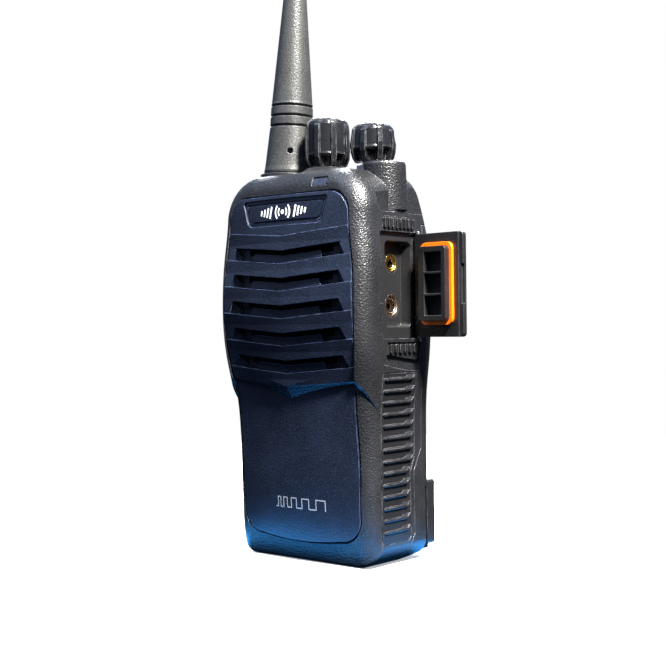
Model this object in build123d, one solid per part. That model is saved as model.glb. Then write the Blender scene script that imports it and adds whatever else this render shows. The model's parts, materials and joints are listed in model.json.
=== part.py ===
from build123d import *
import os
from math import cos, sin, radians

os.makedirs("parts", exist_ok=True)

# ---------------------------------------------------------------------------
# Portable two-way radio.  Millimetres.  +Z up, the front faces -Y, +X is on the
# right as seen from the front.  Origin: middle of the base the radio stands on.
# ---------------------------------------------------------------------------

# Case
BODY_H = 107.3            # base to the top deck
BODY_HALF = 27.3          # widest half width, near the middle louvre
LOW_HALF = 25.5           # half width near the base
LOW_CORNER = 7.0          # corner radius at the base, in front view
TOP_CORNER = 8.5          # corner radius at the deck, in front view, from the antenna to the rear
FRONT_CORNER = 15.5       # the same, just ahead of the front face
REAR_Y = 17.4             # rear plane of case and battery
SIDE_WALL = 1.9
FRONT_WALL = 3.4
FRONT_ROUND = 5.5         # rounding round the whole front face
CHIN_SLOPE = 0.3          # how fast the front falls back under the panel, per mm of height
BASE_ROUND = 1.2          # rounding round the base
BASE_RISE = ((4.0, 0.0), (18.0, 3.3))     # y and z where the base slopes up under the battery
REAR_ROUND = 4.3
GAP = 0.25                # parting line between the case and the battery

# Controls on the top deck share one line across the radio
DECK_Y = 3.2
ANTENNA_X = -14.5
ANTENNA_FOOT = 109.0
ANTENNA_TIP = 240.0
ANTENNA_LEAN = (0.0291, 0.0250, 0.99926)   # unit vector along the antenna
COLLAR_TOP = 108.6
CHANNEL_X = 0.0
VOLUME_X = 16.5
TOWER_X = 20.3
TOWER_R = (6.3, 5.9)       # at its root and at its top
TOWER_TOP = 109.3
KNOB_BOTTOM = 109.8

# Front panel and louvres
PANEL_TOP = 100.6
PANEL_GAP = 0.5
SLOTS = 5
SLOT_PITCH = 7.47
SLOT_LOW = 53.5           # lower corner of the lowest slot
SLOT_HIGH = 3.7           # height of a slot
CHEVRON_DROP = 0.0826     # fall of every chevron line per mm towards the middle

# Accessory recess on the right side
SEAT_X = 25.4             # plane of the seat that the cover lies on
SEAT_Y = (-6.9, 11.3)
SEAT_Z = (61.3, 89.9)
BLOCK_Y = (-6.9, 8.5)
WINDOW_Y = (-3.6, 8.0)
WINDOW_Z = (64.3, 87.5)
JACK_FLOOR_X = 22.5
JACK_Y = 3.0
JACK_LOW_Z = 70.15
JACK_SPACING = 11.5
JACK_BORES = {"3_5": 1.8, "2_5": 1.3}     # bore radius of each socket
JACK_COLLARS = {"3_5": 3.1, "2_5": 2.6}
HINGE = (26.5, 9.9)       # vertical hinge line of the cover
COVER_LENGTH = 16.3
COVER_AJAR = 4.5          # the cover rests this much short of square to the side
COVER_Z = (61.6, 89.6)

# Battery
BATTERY_TOP = 92.3
CORE_HALF = 20.4
CORE_Y = 8.7
FOOT_Y = 21.3
FOOT_Z = (3.4, 21.6)

# Side grips
GRIP_Y = (-5.6, 8.8)
GRIP_Z = (6.5, 52.0)
RIBS = 14
RIB_PITCH = 3.14
RIB_LOW = 9.7


# ------------------------------ small helpers ------------------------------

def block(x0, x1, y0, y1, z0, z1):
    return Pos((x0 + x1) / 2, (y0 + y1) / 2, (z0 + z1) / 2) * Box(x1 - x0, y1 - y0, z1 - z0)


def post(x, y, z0, z1, r):
    """Cylinder along Z."""
    return Pos(x, y, (z0 + z1) / 2) * Cylinder(r, z1 - z0)


def pin_x(y, z, x0, x1, r):
    """Cylinder along X."""
    return Pos((x0 + x1) / 2, y, z) * Rot(0, 90, 0) * Cylinder(r, x1 - x0)


def pin_y(x, z, y0, y1, r):
    """Cylinder along Y."""
    return Pos(x, (y0 + y1) / 2, z) * Rot(90, 0, 0) * Cylinder(r, y1 - y0)


def front_prism(face, y0, y1):
    """A face drawn in X and Z, as a prism from y0 to y1."""
    return extrude(Plane.XZ.offset(-y1) * face, amount=y1 - y0)


def side_prism(face, x0, x1):
    """A face drawn in Y and Z, as a prism from x0 to x1."""
    return extrude(Plane.YZ.offset(x0) * face, amount=x1 - x0)


def polygon(*points):
    return make_face(Polyline(*points, close=True))


def turned(*profile):
    """Solid of revolution about Z from (radius, z) points."""
    face = Plane.XZ * polygon(*profile)
    return revolve(face, Axis.Z)


def rounded_slab(x0, x1, y0, y1, z0, z1, r):
    """Plate that is thin along X, with its four corners rounded in Y and Z."""
    face = Pos((y0 + y1) / 2, (z0 + z1) / 2) * RectangleRounded(y1 - y0, z1 - z0, r)
    return side_prism(face, x0, x1)


def save(name, shape):
    export_step(shape, f"parts/{name}.step")


def front_outline(inset=0.0, base_z=0.0, top_corner=TOP_CORNER, top_half=25.8):
    """Front view of the case: wide shoulders, a waist under the louvres."""
    low_r, top_r = LOW_CORNER - inset, top_corner - inset
    low_half, top_half = LOW_HALF - inset, top_half - inset
    low_z, top_z = base_z + inset, BODY_H - inset
    flank = [(25.2, 24), (25.2, 37), (25.5, 46), (26.6, 56), (BODY_HALF, 71), (27.1, 82)]
    side = Spline(
        (low_half, low_z + low_r), *[(x - inset, z) for x, z in flank], (top_half, top_z - top_r),
        tangents=[(0, 1), (0, 1)])
    low_arc = CenterArc((low_half - low_r, low_z + low_r), low_r, -90, 90)
    top_arc = CenterArc((top_half - top_r, top_z - top_r), top_r, 0, 90)
    right = [low_arc, side, top_arc]
    left = [mirror(edge, about=Plane.YZ) for edge in right]
    base = Line((low_r - low_half, low_z), (low_half - low_r, low_z))
    deck = Line((top_r - top_half, top_z), (top_half - top_r, top_z))
    return make_face(Curve() + [base, deck] + right + left)


def side_outline(knee_y, chin_y, base_z=0.0, proud=0.0):
    """Side view: leaning lower front, full upper front, rear sloping to the deck.

    knee_y and chin_y are where the front passes 46 and 56 above the base, and proud brings
    everything lower forwards."""
    base_y = -7.6 - CHIN_SLOPE * base_z - proud
    front = Spline(
        (base_y, base_z), (-9.4 - proud, 7), (-10.2 - proud, 18), (knee_y, 46), (chin_y, 56), (-15.5, 71), (-15.2, 78),
        (-14.2, 95), (-13.2, BODY_H))
    rear = Line((REAR_Y, base_z), (REAR_Y, 84))
    slope = TangentArc((REAR_Y, 84), (9.9, BODY_H), tangent=(0, 1))
    base = Line((base_y, base_z), (REAR_Y, base_z))
    deck = Line((-13.2, BODY_H), (9.9, BODY_H))
    return make_face(Curve() + [front, rear, slope, base, deck])


# ------------------------------- outer form --------------------------------

BELOW_BASE = -8.0
CORNER_AT = (-22.0, 7.0)      # between these two y, the top corners tighten to their rear radius
STEP_AT = (21, -13.4, 50.6)   # top of the step under the louvres, beside the panel
STEP_FACING = (0.2, 1.4, 1.2)


def outer_form(knee_y, chin_y, proud=0.0):
    """Case and battery together, with rounded front corners, before the base is cut."""
    broad = Plane.XZ.offset(-CORNER_AT[0]) * front_outline(0, BELOW_BASE, FRONT_CORNER, 26.2)
    tight = Plane.XZ.offset(-CORNER_AT[1]) * front_outline(0, BELOW_BASE)
    form = loft([broad, tight], ruled=True) + front_prism(front_outline(0, BELOW_BASE), CORNER_AT[1], 30)
    form &= side_prism(side_outline(knee_y, chin_y, BELOW_BASE, proud), -40, 40)
    return fillet(form.faces().sort_by(Axis.Y)[0].edges(), FRONT_ROUND)


blank = front_prism(front_outline(), -30, 30) & side_prism(side_outline(-11.9, -13.6), -40, 40)
upper_body = outer_form(-13.1, -14.7, 0.9)
rear_rim = [e for e in upper_body.edges() if e.center().Y > 9.5 and abs(e.center().Z - 84) > 0.01]
body = fillet(rear_rim, REAR_ROUND)

# Under the louvres the front of the case steps back along a slanting edge
step_plane = Plane(origin=STEP_AT, z_dir=STEP_FACING)
step_zone = split(block(-0.01, 40, -30, GRIP_Y[0], -20, 60), bisect_by=step_plane, keep=Keep.BOTTOM)
step_zone = step_zone + mirror(step_zone, about=Plane.YZ) + block(-20, 20, -30, GRIP_Y[0], -20, 40)
body -= step_zone - outer_form(-11.9, -13.6)

# The base: round lower corners, and a slope up to the rear
base_line = [(-30, 0), *BASE_RISE, (30, 6.1), (30, -20), (-30, -20)]
low_outline = Pos(0, 20) * RectangleRounded(2 * LOW_HALF + 0.2, 40, LOW_CORNER)
base_waste = block(-40, 40, -30, 30, -20, 12) - front_prism(low_outline, -30, 30)
body = body - base_waste - side_prism(polygon(*base_line), -40, 40)


def on_base_rim(edge):
    """True for the edges round the flat of the base, but not for the crease where its slope begins."""
    at = edge.center()
    return at.Z < 0.05 and abs(at.Y - BASE_RISE[0][0]) > 0.01


body = fillet([edge for edge in body.edges() if on_base_rim(edge)], BASE_ROUND)

# Side view of the parting line between the case and the battery
seam_face = polygon(
    (4.6, -2), (6.2, 3.9), (8.6, 8.0), (8.7, 25.1), (12.1, 31.2),
    (12.1, BATTERY_TOP), (40, BATTERY_TOP), (40, -2))
battery_side = side_prism(seam_face, -40, 40)
case_cut = side_prism(offset(seam_face, GAP), -40, 40)


# ------------------------------- front panel -------------------------------

def panel_outline(grow=0.0):
    """Front view of the panel: round top corners, arched bottom edge."""
    half_top, half_low, top_r = 21.6 + grow, 21.1 + grow, 6.0 + grow
    top_z = PANEL_TOP + grow
    flank = [(21.4, 30), (21.4, 46), (22.9, 56), (23.5, 71), (23.2, 80)]
    side = Spline(
        (half_low, 13.5), *[(x + grow, z) for x, z in flank], (half_top, top_z - top_r),
        tangents=[(0, 1), (0, 1)])
    top_arc = CenterArc((half_top - top_r, top_z - top_r), top_r, 0, 90)
    foot = (14.6 + grow / 2, 7.0 - grow)
    low_arc = ThreePointArc(foot, (19.4 + 0.7 * grow, 8.9 - 0.7 * grow), (half_low, 13.5))
    right = [side, top_arc, low_arc]
    left = [mirror(edge, about=Plane.YZ) for edge in right]
    top = Line((top_r - half_top, top_z), (half_top - top_r, top_z))
    low = ThreePointArc((-foot[0], foot[1]), (0, 5.9 - grow), foot)
    return make_face(Curve() + [top, low] + right + left)


def bowed_block(sections):
    """Block whose front is bowed across the width.  Each section: z, half width, edge y, middle y."""
    reach = 25.0
    faces = []
    for z, half, edge_y, mid_y in sections:
        side_y = mid_y + (edge_y - mid_y) * (reach / half) ** 2
        front = ThreePointArc((-reach, side_y), (0, mid_y), (reach, side_y))
        back = Polyline((reach, side_y), (reach, 0), (-reach, 0), (-reach, side_y))
        faces.append(Plane.XY.offset(z) * make_face(Curve() + [front, back]))
    return loft(faces)


UPPER_BOW = (
    (42, 21.7, -11.9, -14.1), (49, 21.7, -12.6, -14.8), (56, 22.9, -13.6, -15.7), (63, 23.2, -14.7, -16.8),
    (71, 23.5, -15.3, -17.4), (78, 23.3, -15.0, -17.1), (95, 22.0, -14.1, -16.1), (103, 21.6, -13.3, -15.2))
LOWER_BOW = (
    (3, 21.3, -8.9, -10.3), (13, 21.3, -9.7, -11.1), (30, 21.4, -10.5, -12.0), (46, 21.4, -11.7, -13.0),
    (54, 21.7, -12.3, -13.6))
PANEL_BACK = (
    (2, -7.3), (13, -7.8), (30, -9.0), (46, -10.2), (56, -12.0), (71, -13.7), (78, -13.4), (95, -12.4),
    (103, -11.8))


def in_front_of_back(clear=0.0):
    """Everything in front of the panel's back, with the back moved rearwards by clear."""
    line = [(y + clear, z) for z, y in PANEL_BACK]
    return side_prism(polygon((-35, 2), *line, (-35, 103)), -40, 40)


def chevron(low_z, high_z, half_top, half_low):
    """Band in the shape of a wide, shallow V, given at its two tips."""
    drop_top = CHEVRON_DROP * half_top
    drop_low = CHEVRON_DROP * half_low
    return polygon(
        (-half_top, high_z), (0, high_z - drop_top), (half_top, high_z),
        (half_low, low_z), (0, low_z - drop_low), (-half_low, low_z))


def front_y(x, z):
    """Y of the louvred surface at x, z."""
    for (z0, half0, edge0, mid0), (z1, half1, edge1, mid1) in zip(UPPER_BOW, UPPER_BOW[1:]):
        if z <= z1:
            part = (z - z0) / (z1 - z0)
            half, edge, mid = (a + (b - a) * part for a, b in ((half0, half1), (edge0, edge1), (mid0, mid1)))
            return mid + (edge - mid) * (x / half) ** 2


upper_form = bowed_block(UPPER_BOW)
lower_form = bowed_block(LOWER_BOW)

# The upper part stands proud and ends below in a V-shaped bevel that faces down
bevel_apex, bevel_end, bevel_foot = Vector(0, -14.7, 48.2), Vector(20.2, -12.6, 50.3), Vector(0, -13.0, 45.3)
bevel_normal = (bevel_end - bevel_apex).cross(bevel_foot - bevel_apex)
bevel_plane = Plane(origin=bevel_apex, z_dir=bevel_normal)
upper_right = split(upper_form & block(0, 30, -30, 0, 40, 110), bisect_by=bevel_plane, keep=Keep.TOP)
upper_half = upper_right + mirror(upper_right, about=Plane.YZ)
front_panel = upper_half + lower_form

# Each bar leans forward, so that its top edge stands a little proud
SLOT_TOP_HALF, SLOT_LOW_HALF, FACET_HALF = 19.5, 17.2, 21.3
FACET_DEPTH = 3.0
BAR_HIGH = SLOT_PITCH - SLOT_HIGH
BAR_LEAN = 5.5
BAR_END = 26.0
for k in range(SLOTS + 1):
    bar_top = SLOT_LOW + SLOT_PITCH * k + CHEVRON_DROP * (BAR_END - SLOT_LOW_HALF)
    bar_low = bar_top - BAR_HIGH
    hinge_line = Pos(0, front_y(0, bar_low), bar_low)
    leaning = hinge_line * Rot(BAR_LEAN, 0, 0) * hinge_line.inverse() * upper_form
    front_panel += leaning & front_prism(chevron(bar_low, bar_top, BAR_END, BAR_END), -30, -10)
front_panel = front_panel & front_prism(panel_outline(), -30, 0) & in_front_of_back()


def end_facet(low):
    """Three-cornered hollow that leads into the right end of a slot."""
    lead = low + CHEVRON_DROP * (FACET_HALF - SLOT_LOW_HALF)
    top = Vector(SLOT_TOP_HALF, front_y(SLOT_TOP_HALF, low + SLOT_HIGH), low + SLOT_HIGH)
    outer = Vector(FACET_HALF, front_y(FACET_HALF, lead), lead)
    inner = Vector(SLOT_LOW_HALF, front_y(SLOT_LOW_HALF, low) + FACET_DEPTH, low)
    normal = (outer - top).cross(inner - top)
    if normal.Y > 0:
        normal = -normal
    prism = front_prism(polygon((top.X, top.Z), (outer.X, outer.Z), (inner.X, inner.Z)), -30, 0)
    return split(prism, bisect_by=Plane(origin=top, z_dir=normal), keep=Keep.TOP)


for k in range(SLOTS):
    low = SLOT_LOW + SLOT_PITCH * k
    front_panel -= front_prism(chevron(low, low + SLOT_HIGH, SLOT_TOP_HALF, SLOT_LOW_HALF), -30, 0)
    facet = end_facet(low)
    front_panel = front_panel - facet - mirror(facet, about=Plane.YZ)

# Nameplate: a recess with round lower corners, a bevelled rim and a thin plate in it
plate_face = polygon((-14.6, 98.9), (14.6, 98.9), (12.9, 93.2), (-12.9, 93.2))
plate_face = fillet(plate_face.vertices().group_by(Axis.Y)[0], 1.6)
plate_rim = Pos(0, 0.4, 0) * upper_form
plate_floor = Pos(0, 0.8, 0) * upper_form
front_panel -= front_prism(offset(plate_face, 0.8), -30, 0) - plate_rim
front_panel -= front_prism(offset(plate_face, -0.2), -30, 0) - plate_floor
nameplate = front_prism(offset(plate_face, -0.6), -30, 0) & Pos(0, 0.2, 0) * upper_form
nameplate -= plate_floor
save("front_panel", front_panel)
save("nameplate", nameplate)

# Louvre insert: a frame behind the panel with one fin low in each slot
LOUVRE_MID, LOUVRE_WIDE, LOUVRE_HIGH = 70.5, 34.0, 39.2


def louvre_window(inset, corner):
    """Prism through the front, inset from the outline of the louvre frame."""
    outline = RectangleRounded(LOUVRE_WIDE - 2 * inset, LOUVRE_HIGH - 2 * inset, corner)
    return front_prism(Pos(0, LOUVRE_MID) * outline, -30, 0)


louvre_zone = louvre_window(0, 3)
fins = louvre_zone - louvre_window(1.5, 2)
for k in range(SLOTS):
    low = SLOT_LOW + SLOT_PITCH * k
    fins += front_prism(chevron(low - 1.6, low + 1.45, 16.2, 15.6), -30, 0) & louvre_zone
speaker_louvre = fins & in_front_of_back(1.45) - in_front_of_back(0.15)
FIN_SET_BACK = 1.4
fin_front = Pos(0, FIN_SET_BACK, 0) * upper_form & in_front_of_back(1.45)
for k in range(SLOTS):
    low = SLOT_LOW + SLOT_PITCH * k - CHEVRON_DROP * (SLOT_LOW_HALF - 12.9)
    speaker_louvre += front_prism(chevron(low + 0.1, low + 2.1, 12.2, 12.9), -30, 0) & fin_front
save("speaker_louvre", speaker_louvre)


# --------------------------------- housing ---------------------------------

inner_form = front_prism(front_outline(SIDE_WALL), -30, 30) & Pos(0, FRONT_WALL, 0) * blank
room_main = inner_form & block(-40, 40, -30, 6.4, 8.6, 92.8)
room_low = inner_form & block(-40, 40, -30, 2.5, 2.4, 8.7)
room_top = inner_form & Pos(0, -2.2, 0) * blank & block(-40, 40, -30, 10.4, 92.7, 105.2)
battery_bay = block(-22.3, 22.3, 6.3, 30, 8.4, 92.55)

lean_point = (ANTENNA_X, DECK_Y, COLLAR_TOP)
lean = Plane(origin=lean_point, z_dir=ANTENNA_LEAN).location * Pos(0, 0, -COLLAR_TOP)


def antenna_post(z0, z1, r):
    """Cylinder on the antenna's leaning axis; heights are along the axis."""
    return lean * post(0, 0, z0, z1, r)


tower = turned(
    (0, 96), (TOWER_R[0], 96), (TOWER_R[1], TOWER_TOP - 0.8), (TOWER_R[1] - 0.25, TOWER_TOP - 0.25),
    (TOWER_R[1] - 0.8, TOWER_TOP), (0, TOWER_TOP))
channel_collar = turned(
    (0, 105), (8.9, 105), (8.9, 107.3), (8.2, 107.9), (6.5, 109.0), (6.1, 109.3), (0, 109.3))
front_housing = body + Pos(TOWER_X, DECK_Y, 0) * tower + Pos(CHANNEL_X, DECK_Y, 0) * channel_collar
front_housing += antenna_post(98, COLLAR_TOP, 8.6)
front_housing -= case_cut
front_housing = front_housing - room_main - room_low - room_top - battery_bay
front_housing -= front_prism(panel_outline(PANEL_GAP), -30, 0) & in_front_of_back(0.1)
front_housing -= louvre_zone & block(-40, 40, -30, -7, 0, 110)

# Right side: seat of the accessory cover, jack block, knurled pads and ribbed grip
seat = rounded_slab(SEAT_X, 40, *SEAT_Y, *SEAT_Z, 1.2)
jack_hole = rounded_slab(17.5, 40, *BLOCK_Y, *SEAT_Z, 1.2)
thumb_notch = rounded_slab(25.7, 40, -8.2, -6.0, 70.7, 80.1, 0.8)
front_housing = front_housing - seat - jack_hole - thumb_notch
front_housing -= post(*HINGE, SEAT_Z[0] - 0.9, SEAT_Z[1] + 0.4, 0.6)

shoulder = make_face(Curve() + [
    Spline((-5.6, 95.2), (-7.0, 97.5), (-5.9, 102), (-2.6, 108)),
    Polyline((-2.6, 108), (30, 108), (30, 95.2), (-5.6, 95.2))])
tower_zone = post(TOWER_X, DECK_Y, 90, 120, TOWER_R[0] + 0.01)
front_housing -= side_prism(shoulder, 25.0, 40) - tower_zone


def knurled_pad(outline, x_in, x_face, rib_rise, y0, pitch, count, z0, z1):
    """Pad with upright ribs; the outline is its side view."""
    pad = side_prism(outline, x_in, x_face)
    for i in range(count):
        y = y0 + pitch * i
        pad += rounded_slab(x_face - 0.3, x_face + rib_rise, y, y + 0.62 * pitch, z0, z1, 0.4)
    return pad


upper_pad_face = Pos(1.75, 92.1) * RectangleRounded(14.1, 3.9, 0.6)
lower_pad_face = polygon((-4.6, 60.3), (10.4, 60.3), (9.6, 56.0), (8.4, 55.4), (-4.0, 57.0))
upper_grip_pad = knurled_pad(upper_pad_face, 24.6, 26.0, 0.8, -4.9, 1.72, 8, 90.7, 93.6)
lower_grip_pad = knurled_pad(lower_pad_face, 25.0, 26.3, 0.7, -3.2, 2.05, 6, 57.4, 59.8)
front_housing = front_housing - side_prism(upper_pad_face, 24.6, 40) - side_prism(lower_pad_face, 25.0, 40)
scoop = polygon((-4.2, 57.5), (9.7, 57.5), (9.9, 52.4), (5.5, 52.6), (0.4, 53.3), (-5.4, 54.4))
front_housing -= side_prism(scoop, 25.5, 40) - side_prism(lower_pad_face, 20, 40)
save("upper_grip_pad", upper_grip_pad)
save("lower_grip_pad", lower_grip_pad)


def side_half(z):
    """Half width of the case at the height of the grips."""
    return 25.2 if z < 38 else 25.2 + 0.0048 * (z - 38) ** 2


def side_grip(grow=0.0):
    """Side view of the grip insert; its lower rear edge steps forward with the battery seam."""
    y0, y1 = GRIP_Y[0] + 0.1 - grow, GRIP_Y[1] + grow
    z0, z1 = GRIP_Z[0] - grow, GRIP_Z[1] + grow
    return polygon(
        (y0, z0 + 1), (y0 + 1, z0), (y1 - 3.2, z0), (y1 - 2.0, z0 + 1), (y1 - 2.0, 25), (y1, 29),
        (y1, z1), (y0, z1))


right_grip = body & side_prism(side_grip(), 23.8, 40)
for i in range(RIBS):
    z = RIB_LOW + RIB_PITCH * i
    y_end = GRIP_Y[1] - (0.6 if z > 27 else 2.5)
    rib = polygon(
        (-5.0, z - 0.75), (y_end - 1.4, z - 0.75), (y_end, z + 0.65), (y_end, z + 1.7),
        (y_end - 0.4, z + 1.7), (y_end - 1.7, z + 0.55), (-5.0, z + 0.55))
    x_root = side_half(z) - 0.4
    right_grip += extrude(Plane.YZ.offset(x_root) * rib, amount=1.1, taper=20)
left_grip = mirror(right_grip, about=Plane.YZ)
grip_pocket = side_prism(side_grip(0.15), 23.8, 40)
front_housing = front_housing - grip_pocket - mirror(grip_pocket, about=Plane.YZ)
save("side_grip_right", right_grip)
save("side_grip_left", left_grip)

# Left side: openings for the press-to-talk button and the two small keys
PTT_Z = (66.5, 88.5)
KEY_Z = ((91.2, 96.8), (57.6, 63.2))
PTT_Y, KEY_Y = (-7.2, 5.2), (-5.2, 3.8)
KEY_PLAY = 0.25


def side_key_face(y_span, z_span, grow=0.0):
    width, height = y_span[1] - y_span[0] + 2 * grow, z_span[1] - z_span[0] + 2 * grow
    middle = Pos(sum(y_span) / 2, sum(z_span) / 2)
    return middle * RectangleRounded(width, height, min(width, height) * 0.3)


for y_span, z_span in ((PTT_Y, PTT_Z), (KEY_Y, KEY_Z[0]), (KEY_Y, KEY_Z[1])):
    front_housing -= side_prism(side_key_face(y_span, z_span, KEY_PLAY), -40, -20)


def side_key(y_span, z_span, crown, stem):
    """Key cap with a flange inside the wall and a stem towards its switch."""
    cap = body & side_prism(side_key_face(y_span, z_span), -40, -23.4)
    cap = Pos(-crown, 0, 0) * cap + side_prism(side_key_face(y_span, z_span), -25.0, -23.3)
    flange = side_prism(side_key_face(y_span, z_span, 0.9), -23.6, -22.9)
    y, z = sum(y_span) / 2, sum(z_span) / 2
    return cap + flange + block(-23.0, -22.9 + stem, y - 1.2, y + 1.2, z - 1.5, z + 1.5)


ptt_button = side_key(PTT_Y, PTT_Z, 0.9, 1.6)
for i in range(4):
    z = PTT_Z[0] + 7.4 + 2.4 * i
    ptt_button += block(-28.8, -27.6, -4.6, 2.8, z - 0.4, z + 0.4)
save("ptt_button", ptt_button)
save("side_key_upper", side_key(KEY_Y, KEY_Z[0], 0.6, 1.6))
save("side_key_lower", side_key(KEY_Y, KEY_Z[1], 0.6, 1.6))

# Switch strip behind the keys, with one snap switch for each
key_switches = block(-19.0, -18.2, -5.5, 5.2, 56.5, 96.3)
for y_span, z_span in ((PTT_Y, PTT_Z), (KEY_Y, KEY_Z[0]), (KEY_Y, KEY_Z[1])):
    y, z = sum(y_span) / 2, sum(z_span) / 2
    key_switches += block(-20.0, -19.0, y - 2.2, y + 2.2, z - 2.2, z + 2.2)
save("key_switches", key_switches)

# Status light: a window in the brow, with its guide running back to the board
LIGHT_X, LIGHT_Z = (8.6, 13.9), (102.5, 104.8)
light_block = block(*LIGHT_X, -14, -9.8, *LIGHT_Z)
light_guide = (LIGHT_X[0] + 1.7, LIGHT_X[1] - 1.6)
light_window = Pos(0, 0.25, -0.1) * body & light_block
front_housing -= light_block
front_housing -= block(*light_guide, -9.9, -6.5, LIGHT_Z[0] + 0.4, LIGHT_Z[1] - 0.4)
light_window += block(*light_guide, -9.8, -6.6, LIGHT_Z[0] + 0.4, LIGHT_Z[1] - 0.4)
save("light_window", light_window)

# Deck: bores for the antenna socket and for the threaded bushings of both controls
BUSHING_R, BUSHING_BORE_R, SHAFT_R = 3.6, 3.05, 3.0
SOCKET_R, SOCKET_BORE_R, STUD_R = 4.4, 3.05, 3.0
NUT_TOP = 108.9
for x in (CHANNEL_X, VOLUME_X):
    front_housing -= post(x, DECK_Y, 100, 112, BUSHING_R)
    front_housing -= post(x, DECK_Y, BODY_H, 112, 5.0)
front_housing -= antenna_post(98, 110, SOCKET_R)

# Bosses for the chassis screws, and the flat seat of the clip bracket at the back
BOSSES = [(x, z) for x in (-19.3, 19.3) for z in (13.5, 48.0)]
for x, z in BOSSES:
    front_housing += pin_y(x, z, -7.2 if z < 30 else -9.5, 6.4, 2.4) - pin_y(x, z, -1, 10, 0.9)
BRACKET = ((-9.5, 9.5), (12.8, 15.0), (93.8, 103.4))
front_housing -= block(*BRACKET[0], 12.8, 30, *BRACKET[2])
CLIP_SCREWS = [(-3.8, 95.6), (3.8, 95.6)]
for x, z in CLIP_SCREWS:
    front_housing -= pin_y(x, z, 10.9, 13, 0.8)
save("front_housing", front_housing)


def control_switch(x, body_size, low_z):
    """Rotary control: square body under the deck and a bored threaded bushing through it."""
    half = body_size / 2
    shape = block(x - half, x + half, DECK_Y - half, DECK_Y + half, low_z, 101.5)
    shape += post(x, DECK_Y, 101.5, NUT_TOP, BUSHING_R)
    return shape - post(x, DECK_Y, low_z + 1.5, 112, BUSHING_BORE_R)


def control_nut(x):
    ring = Pos(x, DECK_Y, BODY_H) * extrude(RegularPolygon(4.9, 6), amount=1.3)
    return ring - post(x, DECK_Y, 100, 112, BUSHING_R)


def control_shaft(x, low_z, top_z):
    return post(x, DECK_Y, low_z, top_z, SHAFT_R)


save("channel_switch", control_switch(CHANNEL_X, 11.0, 93.4))
save("volume_control", control_switch(VOLUME_X, 10.4, 95.0))
save("control_nuts", Compound(children=[control_nut(CHANNEL_X), control_nut(VOLUME_X)]))
save("channel_shaft", control_shaft(CHANNEL_X, 95.3, 119.6))
save("volume_shaft", control_shaft(VOLUME_X, 96.9, 116.3))


KNOB_R = 6.5
KNOB_RIBS = 8


def knob(x, top_z, skirt_z, top_r):
    """Nearly cylindrical knob; its ribs run past the skirt as claws round a thinner neck."""
    wall = KNOB_R - 0.75
    shell = turned(
        (0, skirt_z), (wall - 0.3, skirt_z), (wall + 0.15, skirt_z + 0.4), (wall - 0.05, skirt_z + 1.0),
        (top_r - 0.5, top_z - 2.2), (top_r - 0.8, top_z - 1.3), (top_r - 1.5, top_z - 0.6),
        (2.5, top_z - 0.1), (0, top_z))
    neck = turned((0, KNOB_BOTTOM), (3.9, KNOB_BOTTOM), (4.5, skirt_z), (0, skirt_z))
    envelope = turned(
        (0, KNOB_BOTTOM), (5.3, KNOB_BOTTOM), (5.8, KNOB_BOTTOM + 0.7), (KNOB_R - 0.15, skirt_z - 0.6),
        (KNOB_R, skirt_z + 1.6), (top_r + 0.05, top_z - 3.2), (top_r - 0.1, top_z - 1.9),
        (top_r - 0.6, top_z - 1.1), (top_r - 1.4, top_z - 0.55), (0, top_z - 0.5))
    form = shell + neck
    for i in range(KNOB_RIBS):
        rib_top = top_z if i % 2 else top_z - 2.4
        rib = block(3.6, 7, -0.7, 0.7, KNOB_BOTTOM, rib_top)
        form += (Rot(0, 0, 360 / KNOB_RIBS * i + 12) * rib) & envelope
    form -= post(0, 0, KNOB_BOTTOM - 1, top_z - 4.0, SHAFT_R)
    return Pos(x, DECK_Y, 0) * form


save("channel_knob", knob(CHANNEL_X, 123.7, 112.7, 6.3))
save("volume_knob", knob(VOLUME_X, 120.4, 112.9, 6.0))

# ---------------------------------- antenna --------------------------------

socket_shape = antenna_post(97.5, COLLAR_TOP - 0.1, SOCKET_R) + antenna_post(96.5, 98.0, 5.0)
socket_shape -= antenna_post(103.0, 110, SOCKET_BORE_R)
save("antenna_socket", socket_shape)

stud = antenna_post(103.4, 110.5, STUD_R) + antenna_post(110.5, 114.0, 4.2)
save("antenna_connector", stud)
save("antenna_seal", antenna_post(COLLAR_TOP + 0.02, ANTENNA_FOOT, 6.6) - antenna_post(108, 110, 4.9))
whip = antenna_post(114.0, 160.0, 1.6) + antenna_post(160.0, 232.0, 1.0)
save("antenna_whip", whip)

sheath_profile = [(0, ANTENNA_FOOT), (7.5, ANTENNA_FOOT), (7.6, 109.7), (7.35, 111.0), (7.15, 113.0)]
GROOVE_LOW, GROOVE_PITCH, GROOVE_HIGH = 122.3, 2.95, 0.75
for i in range(3):
    z = GROOVE_LOW + GROOVE_PITCH * i
    r = 6.25 - 0.09 * i
    groove = [(r, 0), (r - 0.7, 0.1), (r - 0.7, GROOVE_HIGH - 0.1), (r - 0.03, GROOVE_HIGH)]
    sheath_profile += [(groove_r, z + rise) for groove_r, rise in groove]
sheath_profile += [
    (5.9, 129.5), (3.4, 160.0), (3.05, 168.0), (2.6, 236.5), (2.3, 238.6), (1.4, 239.7), (0, ANTENNA_TIP)]
pinhole = Pos(0, 0, 115.1) * Rot(0, 0, 40.7) * pin_y(0, 0, -8.5, -5.6, 0.85)
save("antenna_sheath", lean * (turned(*sheath_profile) - pinhole) - stud - whip)

# ------------------------- jack block and its sockets ----------------------

def window_section(x, rear_in, end_in, corner):
    """Outline of the jack window in the plane at x, taken in at the rear and at both ends."""
    width = WINDOW_Y[1] - WINDOW_Y[0] - rear_in
    height = WINDOW_Z[1] - WINDOW_Z[0] - 2 * end_in
    middle = Pos(WINDOW_Y[0] + width / 2, sum(WINDOW_Z) / 2)
    return Plane.YZ.offset(x) * middle * RectangleRounded(width, height, corner)


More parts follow.
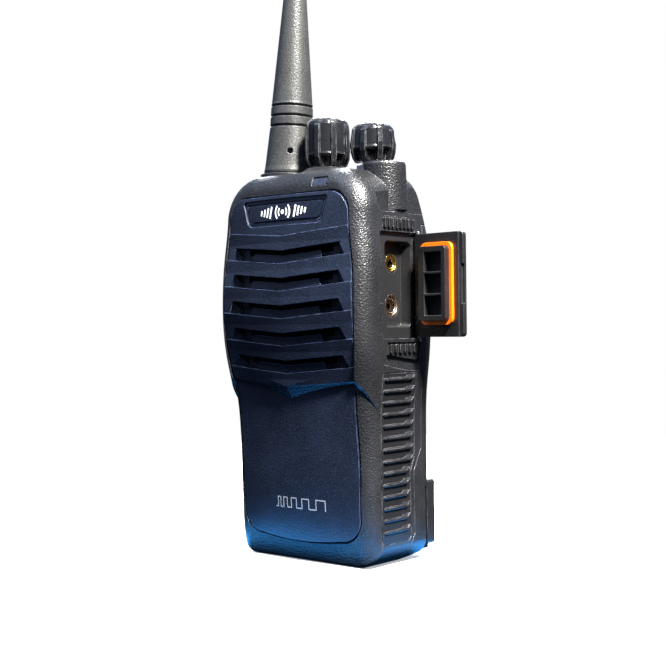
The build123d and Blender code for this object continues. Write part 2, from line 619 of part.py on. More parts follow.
window = loft([window_section(JACK_FLOOR_X, 0.9, 0.3, 1.2), window_section(26, 0, 0, 1.5)])
jack_block = rounded_slab(17.5, SEAT_X, *BLOCK_Y, *SEAT_Z, 1.2) - window
SOCKET_DEPTH = {"3_5": 15.0, "2_5": 11.5}
LEAD_IN = 0.4
for name, z in (("3_5", JACK_LOW_Z), ("2_5", JACK_LOW_Z + JACK_SPACING)):
    collar, bore = JACK_COLLARS[name], JACK_BORES[name]
    floor_x = JACK_FLOOR_X - SOCKET_DEPTH[name]
    barrel = pin_x(JACK_Y, z, floor_x - 1, JACK_FLOOR_X, collar)
    jack_block -= pin_x(JACK_Y, z, 10, 40, collar)
    barrel -= pin_x(JACK_Y, z, floor_x, JACK_FLOOR_X + 1, bore)
    barrel -= Pos(JACK_FLOOR_X, JACK_Y, z) * Rot(0, -90, 0) * Cone(
        bore + LEAD_IN, bore, LEAD_IN, align=(Align.CENTER, Align.CENTER, Align.MIN))
    barrel -= pin_x(JACK_Y, z, JACK_FLOOR_X - 0.3, JACK_FLOOR_X + 1, collar - 0.6)
    save("socket_" + name + "mm", barrel)
save("jack_block", jack_block)

# ------------------- accessory cover, drawn open as it rests ----------------

hinge_x, hinge_y = HINGE
plate_y = (hinge_y - 1.1, hinge_y + 0.6)
ajar = Pos(hinge_x, hinge_y, 0) * Rot(0, 0, -COVER_AJAR) * Pos(-hinge_x, -hinge_y, 0)


def cover_rect(x0, x1, z0, z1, r, y0, y1):
    """Rounded plate that is thin along Y."""
    return front_prism(Pos((x0 + x1) / 2, (z0 + z1) / 2) * RectangleRounded(x1 - x0, z1 - z0, r), y0, y1)


cover_end = hinge_x + COVER_LENGTH
cover = cover_rect(hinge_x - 0.2, cover_end, *COVER_Z, 1.1, *plate_y)
LIP_WIDE, LIP_STEP = 1.35, 0.35
CATCH_WIDE, CATCH_Z = 0.75, (70.4, 81.0)
cover -= block(cover_end - LIP_WIDE, 60, 0, plate_y[0] + LIP_STEP, 50, 100)
cover -= block(cover_end - CATCH_WIDE, 60, 0, plate_y[0] + 1.1, *CATCH_Z)
cover += post(hinge_x, hinge_y, COVER_Z[0] + 0.9, COVER_Z[1] - 0.9, 1.05)
PLUG_X, PLUG_Z, PLUG_DEEP = (29.6, 39.0), (65.9, 85.9), 2.6
CELLS, CELL_WALL = 3, 0.6
CELL_X = (PLUG_X[0] + 2.1, PLUG_X[1] - 1.4)
plug = cover_rect(*PLUG_X, *PLUG_Z, 1.0, plate_y[0] - PLUG_DEEP, plate_y[0])
cell_low = PLUG_Z[0] + 1.5
cell_pitch = (PLUG_Z[1] - PLUG_Z[0] - 3.0 + CELL_WALL) / CELLS
for i in range(CELLS):
    z0 = cell_low + cell_pitch * i
    plug -= block(*CELL_X, plate_y[0] - PLUG_DEEP - 1, plate_y[0] - 0.02, z0, z0 + cell_pitch - CELL_WALL)
cover += plug
GASKET = (28.95, 39.9, 64.8, 87.0)
gasket_low = plate_y[0] - 0.95
gasket = cover_rect(*GASKET, 1.9, gasket_low, plate_y[0])
gasket -= cover_rect(PLUG_X[0], PLUG_X[1], *PLUG_Z, 1.0, gasket_low - 1, plate_y[0] + 1)
cover -= post(hinge_x, hinge_y, 50, 100, 0.65)
save("accessory_cover", ajar * cover)
save("cover_gasket", ajar * gasket)
save("cover_hinge_pin", post(hinge_x, hinge_y, SEAT_Z[0] - 0.9, SEAT_Z[1] + 0.4, 0.6))

# --------------------------------- speaker ---------------------------------

SPEAKER_Z = 70.5
save("speaker_mesh", louvre_window(0.3, 2.8) & in_front_of_back(1.75) - in_front_of_back(1.5))


def turned_y(z, *profile):
    """Solid of revolution about a line along Y at height z, from (radius, y) points."""
    return Pos(0, 0, z) * revolve(polygon(*profile), Axis.Y)


save("speaker_frame", turned_y(
    SPEAKER_Z, (16.8, -9.4), (16.8, -8.0), (9.2, -4.6), (3.0, -4.6), (3.0, -5.4), (8.8, -5.4), (15.4, -8.4),
    (15.4, -9.4)))
save("speaker_cone", turned_y(
    SPEAKER_Z, (0, -7.6), (4.0, -6.9), (13.4, -9.2), (14.4, -9.6), (15.3, -9.3), (15.3, -9.0),
    (14.4, -9.3), (13.4, -8.9), (4.0, -6.5), (0, -7.2)))
save("speaker_magnet", turned_y(SPEAKER_Z, (0, -4.6), (8.0, -4.6), (8.0, -2.0), (0, -2.0)))
save("microphone", pin_y(13.0, 54.3, -9.3, -7.4, 2.9))

# ------------------------------ board and chassis ---------------------------

BOARD_Y = (-1.7, -0.7)
board = block(-16.4, 16.4, *BOARD_Y, 10, 92)
for x, z, size in ((-12, 66, 5), (-4, 84, 7), (6, 66, 4), (9, 80, 5)):
    board += block(x - size / 2, x + size / 2, BOARD_Y[1], BOARD_Y[1] + 1.0, z - size / 2, z + size / 2)
save("main_board", board)
save("shield_cans", Compound(children=[
    block(-13.5, 13.5, BOARD_Y[1], 3.0, 26, 42), block(-13.5, 13.5, BOARD_Y[1], 2.2, 45, 60)]))

chassis = block(-22.0, 22.0, 6.5, 8.4, 8.8, 92.3) - block(17.2, 30, 6, 9, 60.8, 90.4)
for z in (28, 43, 58, 73, 88):
    chassis += block(-15.5, 15.5, 5.3, 6.5, z - 0.7, z + 0.7)
CONTACT_Z = (12.0, 21.0)
chassis -= block(-9.2, 9.2, 5, 9, *CONTACT_Z)
for x, z in BOSSES:
    chassis -= pin_y(x, z, 6, 7.4, 0.9)
    chassis -= pin_y(x, z, 7.4, 9, 2.0)
save("rear_chassis", chassis)


def chassis_screw(x, z):
    shape = pin_y(x, z, 0.5, 7.4, 0.9) + pin_y(x, z, 7.4, 8.3, 2.0)
    return shape - block(x - 1.4, x + 1.4, 8.0, 9, z - 0.25, z + 0.25)


save("chassis_screws", Compound(children=[chassis_screw(x, z) for x, z in BOSSES]))
contact_block = block(-9.2, 9.2, 3.6, 8.2, *CONTACT_Z)
save("contact_block", contact_block)
PADS_X = (-6.0, 0.0, 6.0)
save("battery_contacts", Compound(children=[block(x - 1.2, x + 1.2, 8.2, 8.5, 13.5, 19.5) for x in PADS_X]))

# ---------------------------------- battery --------------------------------

CELL_BAY = (-18.9, 18.9, 7.5, 15.7, 10.2, 90.0)
battery_case = body & battery_side
battery_case += block(-CORE_HALF, CORE_HALF, CORE_Y, 12.5, 25, BATTERY_TOP - 0.4)
foot = block(-23.6, 23.6, 14, FOOT_Y, *FOOT_Z)
foot = fillet(foot.edges().filter_by(Axis.Z).group_by(Axis.Y)[-1], 1.6)
foot = fillet(foot.faces().sort_by(Axis.Y)[-1].edges(), 1.0)
battery_case += foot
for side in (-1, 1):
    battery_case -= block(*sorted((side * 23.5, side * 30)), 13.6, 15.3, -2, 20.2)
battery_case -= block(*CELL_BAY)
LATCH_Z = (2.0, 4.2)
battery_case -= block(-8.0, 8.0, 9.2, 14.4, -1, LATCH_Z[1] + 0.3)
battery_case -= block(-3.3, 3.3, 3, 9.3, LATCH_Z[0] + 0.2, LATCH_Z[1] - 0.3)
CHARGE_X = (-9.0, 9.0)
for x in CHARGE_X:
    battery_case -= pin_y(x, 9.0, FOOT_Y - 0.5, 30, 2.4)
save("battery_case", battery_case)
save("charge_contacts", Compound(children=[
    pin_y(x, 9.0, FOOT_Y - 0.5, FOOT_Y - 0.1, 2.4) for x in CHARGE_X]))
save("battery_cover", block(*CELL_BAY[:2], 8.75, 10.0, *CELL_BAY[4:]))
save("battery_pads", Compound(children=[block(x - 1.3, x + 1.3, 8.6, 8.75, 13.0, 20.0) for x in PADS_X]))
cell_face = Pos(0, 12.9) * RectangleRounded(18.2, 5.4, 2.6)
save("battery_cells", Compound(children=[
    Pos(x, 0, 24) * extrude(cell_face, amount=64) for x in (-9.4, 9.4)]))
save("protection_board", block(-18.0, 18.0, 11.0, 12.0, 11.5, 21.5) + block(-6, 4, 12.0, 13.2, 13, 19))

# Release latch in the battery's base, pushed forwards by a spring
latch = block(-7.7, 7.7, 9.4, 12.6, *LATCH_Z) + block(-3.0, 3.0, 5.9, 9.4, LATCH_Z[0] + 0.4, LATCH_Z[1] - 0.5)
LATCH_GROOVES, GROOVE_STEP = 4, 0.65
for i in range(LATCH_GROOVES):
    y = 9.9 + GROOVE_STEP * i
    latch -= block(-5.0, 5.0, y, y + 0.3, 0, LATCH_Z[0] + 0.25)
save("battery_latch", latch)
save("latch_spring", Compound(children=[
    pin_y(x, 3.2, 12.65, 14.35, 0.6) - pin_y(x, 3.2, 12, 15, 0.35) for x in (-5.0, 5.0)]))

# --------------------------------- belt clip --------------------------------

CLIP_PIN = (18.6, 99.4)       # y and z of the clip's pin
CLIP_Y = (22.3, 23.9)
bracket = block(*BRACKET[0], *BRACKET[1], *BRACKET[2])
for side in (-1, 1):
    ear = block(*sorted((side * 7.0, side * 9.0)), 15.0, CLIP_PIN[0], CLIP_PIN[1] - 2.4, CLIP_PIN[1] + 2.4)
    bracket += ear + pin_x(*CLIP_PIN, *sorted((side * 7.0, side * 9.0)), 2.4)
bracket -= pin_x(*CLIP_PIN, -10, 10, 0.9)
for x, z in CLIP_SCREWS:
    bracket -= pin_y(x, z, 12, 14.2, 0.8) + pin_y(x, z, 14.2, 16, 1.6)
save("clip_bracket", bracket)
save("clip_screws", Compound(children=[
    pin_y(x, z, 10.9, 14.2, 0.8) + pin_y(x, z, 14.2, 15.0, 1.6)
    - block(x - 1.1, x + 1.1, 14.7, 16, z - 0.2, z + 0.2) for x, z in CLIP_SCREWS]))
save("clip_pin", pin_x(*CLIP_PIN, -9.0, 9.0, 0.9))
clip_side = polygon(
    (CLIP_Y[0], 104.8), (CLIP_Y[1] - 0.4, 105.6), (CLIP_Y[1] + 0.5, 104.6), (CLIP_Y[1], 100), (CLIP_Y[1], 50),
    (CLIP_Y[1] - 0.6, 46.5), (20.6, 43.6), (18.9, 44.2), (18.4, 46.0), (19.4, 45.6), (20.4, 45.4),
    (CLIP_Y[0] - 0.5, 47.4), (CLIP_Y[0], 50))
clip = side_prism(clip_side, -8.5, 8.5)
for side in (-1, 1):
    x0, x1 = sorted((side * 2.5, side * 6.8))
    clip += pin_x(*CLIP_PIN, x0, x1, 2.1)
    clip += block(x0, x1, CLIP_PIN[0], CLIP_Y[0], CLIP_PIN[1] - 2.1, CLIP_PIN[1] + 2.1)
clip -= pin_x(*CLIP_PIN, -10, 10, 0.95)
save("belt_clip", clip)
coil = pin_x(*CLIP_PIN, -2.3, 2.3, 1.7) - pin_x(*CLIP_PIN, -3, 3, 1.1)
save("clip_spring", coil + block(-2.3, -1.7, 15.0, CLIP_PIN[0] - 1.2, CLIP_PIN[1] - 0.3, CLIP_PIN[1] + 0.3))
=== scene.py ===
"""Portable two-way radio: materials, printed marks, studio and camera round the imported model."""
import json
import math

import bmesh
import bpy
from mathutils import Matrix, Vector
from mathutils.bvhtree import BVHTree


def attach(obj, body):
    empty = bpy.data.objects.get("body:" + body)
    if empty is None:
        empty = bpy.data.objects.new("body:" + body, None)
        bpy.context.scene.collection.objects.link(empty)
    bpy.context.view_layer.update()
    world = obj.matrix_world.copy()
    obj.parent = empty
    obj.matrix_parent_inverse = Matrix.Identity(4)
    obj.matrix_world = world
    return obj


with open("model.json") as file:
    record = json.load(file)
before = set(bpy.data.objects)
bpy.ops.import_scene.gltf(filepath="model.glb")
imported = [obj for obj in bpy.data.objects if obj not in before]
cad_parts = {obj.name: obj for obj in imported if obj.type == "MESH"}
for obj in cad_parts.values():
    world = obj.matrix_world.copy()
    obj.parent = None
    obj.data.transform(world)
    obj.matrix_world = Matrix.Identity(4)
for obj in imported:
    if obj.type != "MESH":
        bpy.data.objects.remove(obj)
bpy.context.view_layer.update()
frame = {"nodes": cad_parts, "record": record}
MM = 0.001

# ------------------------------- camera -------------------------------

CAMERA_AT = Vector((227.8, -260.4, 64.75)) * MM
CAMERA_AZIMUTH = math.radians(40.68)     # 0 looks along +Y
CAMERA_PITCH = math.radians(0.31)
CAMERA_ROLL = math.radians(-0.64)
CAMERA_LENS = 66.4                       # on a sensor 36 wide


def make_camera():
    data = bpy.data.cameras.new("camera")
    data.lens = CAMERA_LENS
    data.sensor_width = 36
    data.clip_start, data.clip_end = 0.01, 20
    camera = bpy.data.objects.new("camera", data)
    bpy.context.scene.collection.objects.link(camera)
    back = Vector((
        math.sin(CAMERA_AZIMUTH) * math.cos(CAMERA_PITCH),
        -math.cos(CAMERA_AZIMUTH) * math.cos(CAMERA_PITCH),
        math.sin(CAMERA_PITCH)))
    right = Vector((math.cos(CAMERA_AZIMUTH), math.sin(CAMERA_AZIMUTH), 0))
    up = back.cross(right)
    right, up = (
        right * math.cos(CAMERA_ROLL) + up * math.sin(CAMERA_ROLL),
        up * math.cos(CAMERA_ROLL) - right * math.sin(CAMERA_ROLL))
    turn = Matrix((right, up, back)).transposed()
    camera.matrix_world = Matrix.Translation(CAMERA_AT) @ turn.to_4x4()
    bpy.context.scene.camera = camera


make_camera()

# ------------------------------ materials -----------------------------

GIVES_A_NUMBER = ("LENGTH", "DOT_PRODUCT", "MULTIPLY")


class Shader:
    """A Principled material and the small node network that feeds it."""

    def __init__(self, name, **sockets):
        self.material = bpy.data.materials.new(name)
        self.material.use_nodes = True
        self.nodes = self.material.node_tree.nodes
        self.links = self.material.node_tree.links
        self.shader = self.nodes["Principled BSDF"]
        for key, value in sockets.items():
            self.shader.inputs[key.replace("_", " ")].default_value = value
        self.place = self.add("ShaderNodeTexCoord").outputs["Object"]

    def add(self, kind, **settings):
        node = self.nodes.new(kind)
        for key, value in settings.items():
            setattr(node, key, value)
        return node

    def feed(self, node, **sockets):
        """Sets or links a node's inputs by name."""
        for key, value in sockets.items():
            socket = node.inputs[key.replace("_", " ")]
            if isinstance(value, bpy.types.NodeSocket):
                self.links.new(value, socket)
            else:
                socket.default_value = value
        return node

    def noise(self, size_mm, detail=2.0):
        """Noise whose features are about size_mm across."""
        node = self.add("ShaderNodeTexNoise")
        return self.feed(node, Vector=self.place, Scale=1 / (size_mm * MM), Detail=detail).outputs[0]

    def cells(self, size_mm):
        """Cells about size_mm across, as the distance from each one's middle."""
        node = self.add("ShaderNodeTexVoronoi")
        return self.feed(node, Vector=self.place, Scale=1 / (size_mm * MM)).outputs["Distance"]

    def ramp(self, source, *stops):
        """Colour ramp from (position, grey or colour) stops."""
        node = self.add("ShaderNodeValToRGB")
        elements = node.color_ramp.elements
        while len(elements) < len(stops):
            elements.new(0.5)
        for element, (position, value) in zip(elements, stops):
            element.position = position
            element.color = (*value, 1) if isinstance(value, tuple) else (value, value, value, 1)
        self.links.new(source, node.inputs[0])
        return node.outputs[0]

    def blend(self, amount, a, b):
        node = self.add("ShaderNodeMix", data_type="RGBA")
        for socket, value in zip((node.inputs[0], node.inputs[6], node.inputs[7]), (amount, a, b)):
            if isinstance(value, bpy.types.NodeSocket):
                self.links.new(value, socket)
            else:
                socket.default_value = value
        return node.outputs[2]

    def bump(self, height, depth_mm, strength=1.0, onto=None):
        node = self.feed(self.add("ShaderNodeBump"), Height=height, Distance=depth_mm * MM, Strength=strength)
        if onto:
            self.links.new(onto, node.inputs["Normal"])
        return node.outputs[0]

    def compute(self, kind, operation, *inputs):
        """The result of a math or vector math node from its inputs in order."""
        node = self.add(kind, operation=operation)
        for socket, value in zip(node.inputs, inputs):
            if isinstance(value, bpy.types.NodeSocket):
                self.links.new(value, socket)
            else:
                socket.default_value = value
        return node.outputs["Value" if operation in GIVES_A_NUMBER else "Vector"]

    def edges(self, radius_mm):
        """A normal that rounds the edges off, and a mask that is 1 along them."""
        rounded = self.feed(self.add("ShaderNodeBevel", samples=6), Radius=radius_mm * MM).outputs[0]
        flat = self.add("ShaderNodeNewGeometry").outputs["Normal"]
        agreement = self.compute("ShaderNodeVectorMath", "DOT_PRODUCT", rounded, flat)
        return rounded, self.ramp(agreement, (0.80, 1.0), (0.985, 0.0))

    def use(self, **sockets):
        self.feed(self.shader, **sockets)
        return self.material


def scaled(colour, factor):
    """The colour made lighter or darker, for a ramp."""
    return tuple(min(1, c * factor) for c in colour)


def opaque(colour):
    """The colour with an alpha, for a socket."""
    return (*colour, 1)


PIT_SPACING, PIT_SHARE = 1.3, 0.45       # pits against the grain's size, and their share of its depth
HOLLOW_SHADE = 0.6                             # how much darker the grain's hollows are painted, as painted shade
DUST_MM, RUB_MM = 14, 2.2                # size of the dusty patches and of the patches along the edges, rubbed and with a painted highlight
GLOSSIEST = 0.05
METAL_EDGE_MM = 0.12


def moulded(name, colour, rough, grain_mm, depth_mm, light=1.8, wear_and_highlight=4.0, edge_mm=0.35, speck=0.1):
    """Moulded plastic or rubber: a grain with painted shade in its hollows and painted glints on its peaks,
    patches of dust, and edges paler from wear and a painted highlight.

    light says how many times paler the grain's peaks are than colour, the edge factor after it how many times
    paler the worn and highlit edges are, and speck how far the roughness swings either way."""
    s = Shader(name)
    grain = s.noise(grain_mm, 2.5)
    pits = s.cells(grain_mm * PIT_SPACING)
    normal, edge = s.edges(edge_mm)
    # Painted shade in the grain's hollows and painted glints on its peaks: the tone follows the same noise as
    # the bump.
    tint = s.ramp(grain, (0.35, scaled(colour, HOLLOW_SHADE)), (0.52, colour), (0.70, scaled(colour, light)))
    dust = s.ramp(s.noise(DUST_MM, 3), (0.42, 0.0), (0.72, 0.4))
    tint = s.blend(dust, tint, opaque(scaled(colour, light)))
    # Edges paler in patches: partly rubbed wear, partly a painted highlight along them.
    edge_wear_and_highlight = s.blend(s.ramp(s.noise(RUB_MM, 3), (0.38, 0.0), (0.62, 0.9)), opaque((0, 0, 0)), edge)
    tint = s.blend(edge_wear_and_highlight, tint, opaque(scaled(colour, wear_and_highlight)))
    gloss = s.ramp(grain, (0.3, rough + speck), (0.7, max(GLOSSIEST, rough - speck)))
    height = s.blend(PIT_SHARE, grain, pits)
    return s.use(Base_Color=tint, Roughness=gloss, Normal=s.bump(height, depth_mm, 1.0, normal))


def metal(name, colour, rough, scratch_mm=0.4):
    """Bare metal with faint marks and slightly polished edges."""
    s = Shader(name, Metallic=1.0)
    marks = s.noise(scratch_mm, 3)
    normal, edge = s.edges(METAL_EDGE_MM)
    tint = s.ramp(marks, (0.3, scaled(colour, 0.8)), (0.7, colour))
    tint = s.blend(edge, tint, opaque(scaled(colour, 1.25)))
    gloss = s.ramp(marks, (0.3, rough * 0.7), (0.7, min(1, rough * 1.4)))
    return s.use(Base_Color=tint, Roughness=gloss, Normal=s.bump(marks, 0.01, 0.5, normal))


def printed_ink(name, colour, metallic):
    """Pad-printed ink with the plate's grain showing through it."""
    s = Shader(name, Metallic=metallic)
    grain = s.noise(0.35, 3)
    tint = s.ramp(grain, (0.25, scaled(colour, 0.78)), (0.5, colour))
    gloss = s.ramp(grain, (0.3, 0.5), (0.7, 0.32))
    return s.use(Base_Color=tint, Roughness=gloss, Normal=s.bump(grain, 0.02))


CASE = (0.0065, 0.0067, 0.0075)
NAVY = (0.0065, 0.0095, 0.019)
RUBBER = (0.0055, 0.0055, 0.006)
PANEL_GRAIN = {
    "rough": 0.34,
    "grain_mm": 0.38,
    "depth_mm": 0.085,
    "light": 2.6,
    "wear_and_highlight": 14.0,
    "edge_mm": 0.25,
    "speck": 0.08,
}

# One look for each material slot
LOOKS = {
    "case_plastic": moulded("case plastic", CASE, 0.37, 0.40, 0.19, light=3.0, wear_and_highlight=14.0),
    "panel_plastic": moulded("panel plastic", NAVY, **PANEL_GRAIN),
    "nameplate_film": moulded("nameplate film", NAVY, 0.25, 0.5, 0.01, edge_mm=0.2, speck=0.03),
    "louvre_plastic": moulded("louvre plastic", NAVY, **PANEL_GRAIN),
    "mesh_metal": metal("speaker mesh", (0.02, 0.02, 0.022), 0.5),
    "grip_rubber": moulded("grip rubber", RUBBER, 0.38, 0.34, 0.10, light=2.2, wear_and_highlight=26.0, edge_mm=0.25),
    "key_rubber": moulded("key rubber", (0.018, 0.018, 0.02), 0.5, 0.4, 0.04),
    "key_plastic": moulded("latch plastic", CASE, 0.4, 0.5, 0.05),
    "knob_plastic": moulded("knob plastic", (0.006, 0.0062, 0.007), 0.24, 0.36, 0.05, wear_and_highlight=30.0, speck=0.05),
    "antenna_rubber": moulded("antenna rubber", (0.020, 0.0205, 0.0192), 0.40, 0.34, 0.12, light=2.6),
    "seal_rubber": moulded("seal rubber", (0.015, 0.015, 0.015), 0.6, 0.3, 0.03),
    "gasket_rubber": moulded("gasket silicone", (0.95, 0.16, 0.0), 0.42, 0.3, 0.012, 1.1, 1.2, 0.25),
    "cover_plastic": moulded("cover plastic", CASE, 0.40, 0.5, 0.06, wear_and_highlight=5.0),
    "jack_plastic": moulded("jack plastic", CASE, 0.42, 0.5, 0.05, wear_and_highlight=5.0),
    "socket_brass": metal("socket brass", (0.82, 0.60, 0.22), 0.24),
    "socket_nickel": metal("socket nickel", (0.80, 0.66, 0.54), 0.24),
    "light_lens": moulded("light lens", (0.02, 0.025, 0.04), 0.12, 0.6, 0.005),
    "plated_brass": metal("plated brass", (0.85, 0.65, 0.32), 0.2),
    "spring_steel": metal("spring steel", (0.6, 0.6, 0.6), 0.25),
    "shaft_steel": metal("shaft steel", (0.55, 0.55, 0.56), 0.3),
    "screw_steel": metal("screw steel", (0.2, 0.2, 0.21), 0.35),
    "chassis_aluminium": metal("chassis aluminium", (0.6, 0.6, 0.61), 0.45, 0.8),
    "circuit_board": moulded("circuit board", (0.02, 0.14, 0.06), 0.35, 0.6, 0.02),
    "shield_steel": metal("shield steel", (0.62, 0.62, 0.6), 0.3),
    "magnet_steel": metal("magnet steel", (0.35, 0.35, 0.36), 0.35),
    "cone_film": moulded("cone film", (0.05, 0.05, 0.05), 0.4, 0.8, 0.02),
    "control_plastic": moulded("control plastic", (0.03, 0.03, 0.03), 0.45, 0.5, 0.03),
    "gold_contacts": metal("gold contacts", (0.9, 0.68, 0.32), 0.22),
    "battery_plastic": moulded("battery plastic", (0.03, 0.03, 0.033), 0.45, 0.5, 0.04),
    "cell_wrap": moulded("cell wrap", (0.03, 0.10, 0.35), 0.25, 2.0, 0.01),
    "clip_plastic": moulded("clip plastic", CASE, 0.40, 0.5, 0.06),
}

slot_of = {part["node"]: part["material_slot"] for part in frame["record"]["subparts"]}
for name, node in frame["nodes"].items():
    node.data.materials.clear()
    node.data.materials.append(LOOKS[slot_of[name]])

# ---------------------------- printed marks ---------------------------

INK_RISE = 0.03 * MM                     # how far the ink stands off the surface
BEFORE_FRONT = -50 * MM                  # rays towards the front start here
PRINT_STEP = 0.6                         # longest stretch of a straight stroke between points
ARC_STEP = 9                             # degrees between the points of a curved one

EMBLEM_Z = 96.05
EMBLEM_DOT_R = 0.62
WAVE_R, WAVE_SPREAD, WAVE_WIDTH = (1.5, 2.6), 42, 0.5
BAR_X, BAR_PITCH, BAR_COUNT = 4.4, 1.2, 4
BAR_HALF, BAR_SHRINK, BAR_SLANT, BAR_WIDTH = 1.6, 0.3, 0.22, 0.6

PULSE_X, PULSE_LOW, PULSE_HIGH = -8.0, 14.9, 17.6
PULSE_WIDTHS = (1.0, 1.4, 1.9, 2.5, 3.2)
PULSE_REST = 0.8                         # length of the low stretch against the high one
PULSE_STROKE = 0.34


def strip(points, width):
    """Quads of one width along a line of (x, z) points."""
    sides = []
    for i, (x, z) in enumerate(points):
        before, after = Vector(points[max(i - 1, 0)]), Vector(points[min(i + 1, len(points) - 1)])
        along = (after - before).normalized()
        across = Vector((-along.y, along.x)) * width / 2
        sides.append(((x + across.x, z + across.y), (x - across.x, z - across.y)))
    return [(a, b, d, c) for (a, b), (c, d) in zip(sides, sides[1:])]


def line(start, end, width):
    start, end = Vector(start), Vector(end)
    count = max(2, math.ceil((end - start).length / PRINT_STEP) + 1)
    return strip([tuple(start.lerp(end, i / (count - 1))) for i in range(count)], width)


def arc(centre, radius, start, end, width):
    count = max(3, math.ceil(abs(end - start) / ARC_STEP) + 1)
    angles = [math.radians(start + (end - start) * i / (count - 1)) for i in range(count)]
    points = [(centre[0] + radius * math.cos(a), centre[1] + radius * math.sin(a)) for a in angles]
    return strip(points, width)


def disc(centre, radius, count=20):
    angles = [math.tau * i / count for i in range(count)]
    rim = [(centre[0] + radius * math.cos(a), centre[1] + radius * math.sin(a)) for a in angles]
    return [(centre, rim[i], rim[(i + 1) % count]) for i in range(count)]


def printed(name, faces, node, material):
    """Lays flat (x, z) faces in mm on the front of a node, as a thin printed layer."""
    tree = BVHTree.FromObject(frame["nodes"][node], bpy.context.evaluated_depsgraph_get())
    mesh = bmesh.new()
    for face in faces:
        corners = []
        for x, z in face:
            hit = tree.ray_cast(Vector((x * MM, BEFORE_FRONT, z * MM)), Vector((0, 1, 0)))[0]
            corners.append(mesh.verts.new(hit - Vector((0, INK_RISE, 0))))
        mesh.faces.new(corners)
    bmesh.ops.remove_doubles(mesh, verts=mesh.verts, dist=1e-6)
    bmesh.ops.recalc_face_normals(mesh, faces=mesh.faces)
    for face in mesh.faces:
        if face.normal.y > 0:
            face.normal_flip()
    data = bpy.data.meshes.new(name)
    mesh.to_mesh(data)
    mesh.free()
    data.materials.append(material)
    piece = bpy.data.objects.new(name, data)
    bpy.context.scene.collection.objects.link(piece)
    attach(piece, "case")


def signal_emblem():
    """A mast's dot with waves on both sides, between two groups of leaning bars."""
    faces = disc((0, EMBLEM_Z), EMBLEM_DOT_R)
    for radius in WAVE_R:
        for middle in (0, 180):
            faces += arc((0, EMBLEM_Z), radius, middle - WAVE_SPREAD, middle + WAVE_SPREAD, WAVE_WIDTH)
    for side in (-1, 1):
        for i in range(BAR_COUNT):
            x = side * (BAR_X + BAR_PITCH * i)
            half = BAR_HALF - BAR_SHRINK * i
            lean = BAR_SLANT * half
            faces += line((x - lean, EMBLEM_Z - half), (x + lean, EMBLEM_Z + half), BAR_WIDTH)
    return faces


def pulse_mark():
    """A square pulse train that widens to the right."""
    below, above = PULSE_LOW - PULSE_STROKE / 2, PULSE_HIGH + PULSE_STROKE / 2
    faces = []
    x = PULSE_X
    for width in PULSE_WIDTHS:
        rise = x + width * PULSE_REST
        fall = rise + width
        faces += line((x, PULSE_LOW), (rise, PULSE_LOW), PULSE_STROKE)
        faces += line((rise, below), (rise, above), PULSE_STROKE)
        faces += line((rise, PULSE_HIGH), (fall, PULSE_HIGH), PULSE_STROKE)
        faces += line((fall, below), (fall, above), PULSE_STROKE)
        x = fall
    return faces


white_ink = printed_ink("white ink", (0.86, 0.86, 0.86), 0.0)
silver_ink = printed_ink("silver ink", (0.55, 0.55, 0.56), 0.6)
printed("signal_emblem", signal_emblem(), "nameplate", white_ink)
printed("pulse_mark", pulse_mark(), "front_panel", silver_ink)

# -------------------------------- studio ------------------------------

FLOOR_HALF = 6.0
FLOOR_DROP = 0.1 * MM
WHITE_OUT = (0.12, 0.40)                 # from here on outwards the shown floor turns plain white
FOOTPRINT = (0.025, 0.012, 1.0)          # half the length and depth of the ground under the body where the blue glow has a painted shadow
BLUE = (0.05, 0.34, 0.90, 1)
BLUE_GLOW = 12.0
BLUE_RAMP_REACH = 0.1                    # distance outside the footprint at the end of the blue's ramp


def emission(s, colour, strength):
    return s.feed(s.add("ShaderNodeEmission"), Color=colour, Strength=strength).outputs[0]


def either(s, amount, a, b):
    """Shader a where amount is 0 and b where it is 1."""
    node = s.add("ShaderNodeMixShader")
    for socket, source in zip(node.inputs, (amount, a, b)):
        s.links.new(source, socket)
    return node.outputs[0]


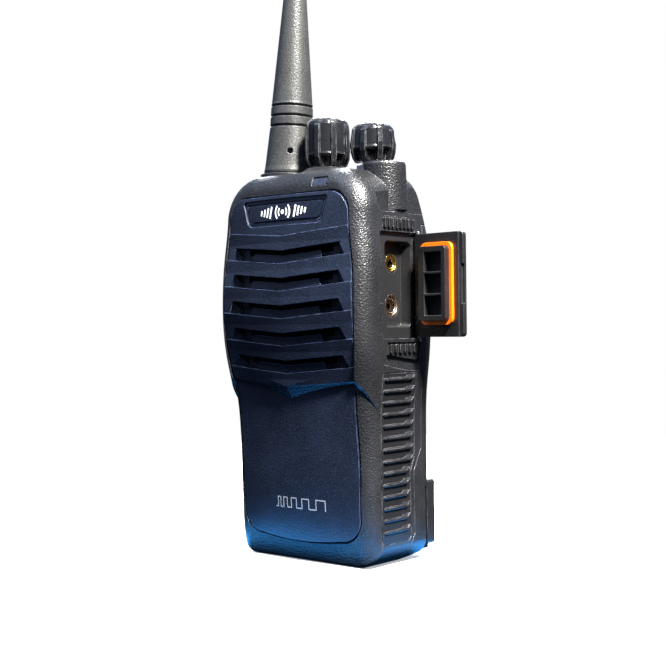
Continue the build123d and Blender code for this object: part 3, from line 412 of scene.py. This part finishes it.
def make_floor():
    """Pale floor; seen in the object's own gloss, it is the blue of the ground the radio stood on."""
    mesh = bpy.data.meshes.new("floor")
    h = FLOOR_HALF
    mesh.from_pydata([(-h, -h, 0), (h, -h, 0), (h, h, 0), (-h, h, 0)], [], [(0, 1, 2, 3)])
    floor = bpy.data.objects.new("floor", mesh)
    floor.location.z = -FLOOR_DROP
    bpy.context.scene.collection.objects.link(floor)
    s = Shader("floor", Roughness=0.8, Base_Color=(0.85, 0.85, 0.85, 1))
    s.shader.inputs["Specular IOR Level"].default_value = 0.0
    s.shader.inputs["Emission Color"].default_value = (1, 1, 1, 1)
    s.shader.inputs["Emission Strength"].default_value = 0.45

    radius = s.compute("ShaderNodeVectorMath", "LENGTH", s.place)
    far = s.feed(s.add("ShaderNodeMapRange"), Value=radius, From_Min=WHITE_OUT[0], From_Max=WHITE_OUT[1])
    shown = either(s, far.outputs[0], s.shader.outputs[0], emission(s, (1, 1, 1, 1), 1.0))

    past = s.compute("ShaderNodeVectorMath", "ABSOLUTE", s.place)
    past = s.compute("ShaderNodeVectorMath", "SUBTRACT", past, FOOTPRINT)
    past = s.compute("ShaderNodeVectorMath", "MAXIMUM", past, (0, 0, 0))
    past = s.compute("ShaderNodeVectorMath", "LENGTH", past)
    past = s.feed(s.add("ShaderNodeMapRange"), Value=past, From_Max=BLUE_RAMP_REACH).outputs[0]
    # The blue glow falls to almost nothing under the body: a painted shadow there.
    near = s.ramp(past, (0.0, 0.01), (0.04, 0.6), (0.07, 1.0), (0.12, 1.0), (0.22, 0.0))
    glow = s.compute("ShaderNodeMath", "MULTIPLY", near, BLUE_GLOW)

    path = s.add("ShaderNodeLightPath").outputs
    soft = emission(s, (0.20, 0.30, 0.45, 1), 0.25)
    unseen = either(s, path["Is Glossy Ray"], soft, emission(s, BLUE, glow))
    surface = either(s, path["Is Camera Ray"], unseen, shown)
    s.links.new(surface, s.nodes["Material Output"].inputs["Surface"])
    mesh.materials.append(s.material)


# Colour of the sky that lights the object, by the height of the direction (1 is straight up)
SKY = (
    (0.0, (0.10, 0.10, 0.11)),
    (0.12, (0.16, 0.18, 0.24)),
    (0.45, (0.20, 0.32, 0.62)),
    (1.0, (0.30, 0.42, 0.70)))


def make_world():
    """White behind the object; a blue sky over a dim horizon for its light and gloss."""
    world = bpy.data.worlds.new("studio")
    bpy.context.scene.world = world
    world.use_nodes = True
    nodes, links = world.node_tree.nodes, world.node_tree.links
    shown = nodes["Background"]
    shown.inputs["Color"].default_value = (1, 1, 1, 1)
    shown.inputs["Strength"].default_value = 1.0
    place = nodes.new("ShaderNodeTexCoord")
    parts = nodes.new("ShaderNodeSeparateXYZ")
    links.new(place.outputs["Generated"], parts.inputs[0])
    sky = nodes.new("ShaderNodeValToRGB")
    while len(sky.color_ramp.elements) < len(SKY):
        sky.color_ramp.elements.new(0.5)
    for element, (position, colour) in zip(sky.color_ramp.elements, SKY):
        element.position = position
        element.color = opaque(colour)
    links.new(parts.outputs["Z"], sky.inputs[0])
    lighting = nodes.new("ShaderNodeBackground")
    links.new(sky.outputs[0], lighting.inputs["Color"])
    path = nodes.new("ShaderNodeLightPath")
    mix = nodes.new("ShaderNodeMixShader")
    links.new(path.outputs["Is Camera Ray"], mix.inputs[0])
    links.new(lighting.outputs[0], mix.inputs[1])
    links.new(shown.outputs[0], mix.inputs[2])
    links.new(mix.outputs[0], nodes["World Output"].inputs["Surface"])


AIM = Vector((0, 0, 0.08))


def softbox(name, azimuth, elevation, distance, size, power, colour):
    """Round area light aimed at the object; azimuth 0 is in front of it and 90 is towards +X."""
    data = bpy.data.lights.new(name, "AREA")
    data.shape = "DISK"
    data.size = size
    data.energy = power
    data.color = colour
    lamp = bpy.data.objects.new(name, data)
    a, e = math.radians(azimuth), math.radians(elevation)
    away = Vector((math.sin(a) * math.cos(e), -math.cos(a) * math.cos(e), math.sin(e)))
    lamp.location = AIM + away * distance
    lamp.rotation_mode = "QUATERNION"
    lamp.rotation_quaternion = away.to_track_quat("Z", "Y")
    bpy.context.scene.collection.objects.link(lamp)


make_floor()
make_world()
softbox("key", 72, 50, 1.6, 0.30, 240, (1.0, 0.97, 0.92))
softbox("sky", -20, 58, 1.6, 0.8, 16, (0.70, 0.82, 1.0))
softbox("back", 215, 42, 1.8, 1.0, 90, (0.92, 0.96, 1.0))
bpy.context.scene.view_settings.view_transform = "Standard"
